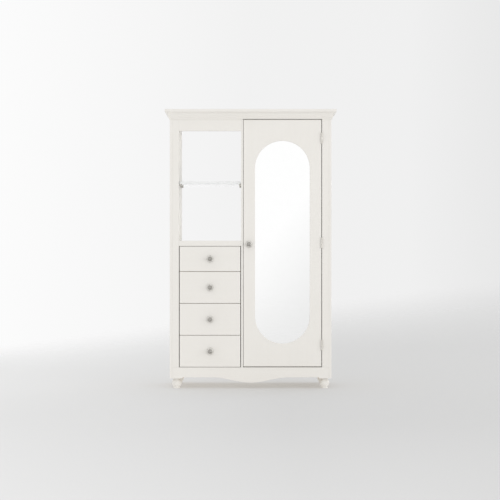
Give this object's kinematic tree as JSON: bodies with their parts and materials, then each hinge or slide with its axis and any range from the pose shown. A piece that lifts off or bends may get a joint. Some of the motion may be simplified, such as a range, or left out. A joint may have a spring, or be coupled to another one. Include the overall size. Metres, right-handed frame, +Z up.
{
  "type": "miniature wardrobe",
  "caption": "Dolls house wardrobe with an open-backed display bay and clear shelf over drawers, beside a hanging space behind a round-ended mirrored door, on ball feet.",
  "frame": {"origin": "on the floor under the middle of the bounding box, feet at z = 0", "axes": "+Z up; the front with the door and drawers faces -Y; +X is to the right seen from the front"},
  "size_m": [0.109, 0.0464, 0.1774],
  "materials": {
    "cream_paint": "cream satin paint on wood",
    "bare_wood": "sanded pale wood, sealed",
    "clear_shelf": "clear polished sheet",
    "mirror_glass": "silvered, polished",
    "backing_card": "plain matte card",
    "pewter": "polished grey metal, darker in the hollows",
    "nickel": "satin nickel"
  },
  "bodies": {
    "carcass": {"left_side": "cream_paint", "right_side": "cream_paint", "bay_lining": "cream_paint", "partition": "cream_paint", "base_board": "cream_paint", "top_board": "cream_paint", "deck_board": "cream_paint", "back_panel": "cream_paint", "left_stile": "cream_paint", "right_stile": "cream_paint", "frieze_rail": "cream_paint", "bottom_rail": "cream_paint", "top_cap": "cream_paint", "crown_front": "cream_paint", "crown_left": "cream_paint", "crown_right": "cream_paint", "glass_shelf": "clear_shelf", "shelf_pins": "nickel", "foot_front_left": "cream_paint", "foot_front_right": "cream_paint", "foot_back_left": "cream_paint", "foot_back_right": "cream_paint", "foot_blocks": "bare_wood", "hanging_rod": "nickel", "rod_sockets": "nickel", "dust_boards": "bare_wood", "hinge_frame_leaves": "nickel", "hinge_pins": "nickel", "hinge_frame_brads": "nickel"},
    "door": {"door_panel": "cream_paint", "mirror": "mirror_glass", "mirror_backing": "backing_card", "door_knob": "pewter", "hinge_door_leaves": "nickel", "hinge_door_brads": "nickel"},
    "drawer_1": {"drawer_1_front": "cream_paint", "drawer_1_left_wall": "bare_wood", "drawer_1_right_wall": "bare_wood", "drawer_1_back": "bare_wood", "drawer_1_bottom": "bare_wood", "drawer_1_knob": "pewter"},
    "drawer_2": {"drawer_2_front": "cream_paint", "drawer_2_left_wall": "bare_wood", "drawer_2_right_wall": "bare_wood", "drawer_2_back": "bare_wood", "drawer_2_bottom": "bare_wood", "drawer_2_knob": "pewter"},
    "drawer_3": {"drawer_3_front": "cream_paint", "drawer_3_left_wall": "bare_wood", "drawer_3_right_wall": "bare_wood", "drawer_3_back": "bare_wood", "drawer_3_bottom": "bare_wood", "drawer_3_knob": "pewter"},
    "drawer_4": {"drawer_4_front": "cream_paint", "drawer_4_left_wall": "bare_wood", "drawer_4_right_wall": "bare_wood", "drawer_4_back": "bare_wood", "drawer_4_bottom": "bare_wood", "drawer_4_knob": "pewter"}
  },
  "joints": [
    {"name": "door_swing", "type": "hinge", "parent": "carcass", "child": "door", "pos_m": [0.04522, -0.01995, 0.09242], "axis": [0, 0, 1], "range_deg": [0, 180]},
    {"name": "drawer_1_slide", "type": "slide", "parent": "carcass", "child": "drawer_1", "axis": [0, -1, 0], "range_m": [0, 0.028]},
    {"name": "drawer_2_slide", "type": "slide", "parent": "carcass", "child": "drawer_2", "axis": [0, -1, 0], "range_m": [0, 0.028]},
    {"name": "drawer_3_slide", "type": "slide", "parent": "carcass", "child": "drawer_3", "axis": [0, -1, 0], "range_m": [0, 0.028]},
    {"name": "drawer_4_slide", "type": "slide", "parent": "carcass", "child": "drawer_4", "axis": [0, -1, 0], "range_m": [0, 0.028]}
  ]
}
